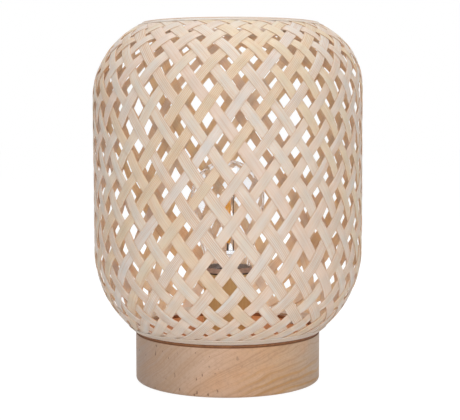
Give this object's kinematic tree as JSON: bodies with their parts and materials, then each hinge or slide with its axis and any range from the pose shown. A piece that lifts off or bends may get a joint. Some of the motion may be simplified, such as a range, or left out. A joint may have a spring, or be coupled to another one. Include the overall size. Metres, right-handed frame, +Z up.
{
  "type": "woven table lamp",
  "caption": "Barrel-shaped shade plaited from flat bamboo strips on a round wooden base, with a clear filament bulb on a short column inside.",
  "frame": {"origin": "centre of the four feet's resting plane, on the lamp's axis", "axes": "+Z up the lamp's axis, +X to the right as seen from the front, +Y to the back"},
  "size_m": [0.2186, 0.2184, 0.2903],
  "materials": {
    "turned_wood": "satin",
    "bamboo": "satin",
    "column_wood": "matte",
    "soft_rubber": "matte",
    "feet_rubber": "matte",
    "clear_glass": "clear gloss",
    "filament_amber": "matte",
    "nickel_brass": "satin",
    "cap_metal": "satin",
    "spring_steel": "satin",
    "screw_steel": "satin",
    "black_plastic": "matte",
    "dark_glass": "gloss",
    "ceramic": "satin",
    "circuit_green": "satin",
    "lead_jacket": "satin",
    "cell_jacket": "satin"
  },
  "bodies": {
    "base": {"base_body": "turned_wood", "feet": "feet_rubber", "bottom_cover": "black_plastic", "cover_screws": "screw_steel", "battery_box": "black_plastic", "batteries": "cell_jacket", "contact_plates": "spring_steel", "contact_springs": "spring_steel", "switch_body": "black_plastic", "circuit_board": "circuit_green", "board_screws": "screw_steel", "inner_leads": "lead_jacket", "lamp_leads": "lead_jacket", "threaded_nipple": "nickel_brass", "nipple_nuts": "nickel_brass", "nipple_washer": "screw_steel", "holder_cup": "column_wood", "lampholder": "black_plastic", "contact_disc": "ceramic", "screw_shell": "nickel_brass", "centre_contact": "spring_steel", "seal_collar": "soft_rubber", "right_strips_a": "bamboo", "right_strips_b": "bamboo", "left_strips_a": "bamboo", "left_strips_b": "bamboo", "top_hoop": "bamboo", "top_band_outer": "bamboo", "top_band_inner": "bamboo", "bottom_hoop": "bamboo", "bottom_band_outer": "bamboo", "bottom_band_inner": "bamboo", "shade_clips": "spring_steel", "clip_screws": "screw_steel"},
    "bulb_tip": {"bulb_insulator": "dark_glass", "bulb_contact": "cap_metal"},
    "bulb": {"bulb_glass": "clear_glass", "bulb_cap": "cap_metal", "glass_stem": "clear_glass", "led_filament": "filament_amber", "support_wires": "spring_steel"},
    "door": {"battery_door": "black_plastic"},
    "slider": {"switch_slider": "black_plastic"}
  },
  "joints": [
    {"name": "bulb_lift", "type": "slide", "parent": "base", "child": "bulb_tip", "axis": [0, 0, 1], "range_m": [0, 0.0145]},
    {"name": "bulb_turn", "type": "hinge", "parent": "bulb_tip", "child": "bulb", "pos_m": [0, 0, 0.0772], "axis": [0, 0, 1], "range_deg": [0, 1440]},
    {"name": "battery_door_hinge", "type": "hinge", "parent": "base", "child": "door", "pos_m": [0, 0.0145, 0.0029], "axis": [1, 0, 0], "range_deg": [0, 100]},
    {"name": "switch_slide", "type": "slide", "parent": "base", "child": "slider", "axis": [1, 0, 0], "range_m": [0, 0.003]}
  ],
  "couplings": [
    {"joint": "bulb_turn", "follows": "bulb_lift", "rad_per_m": 1731.4}
  ]
}
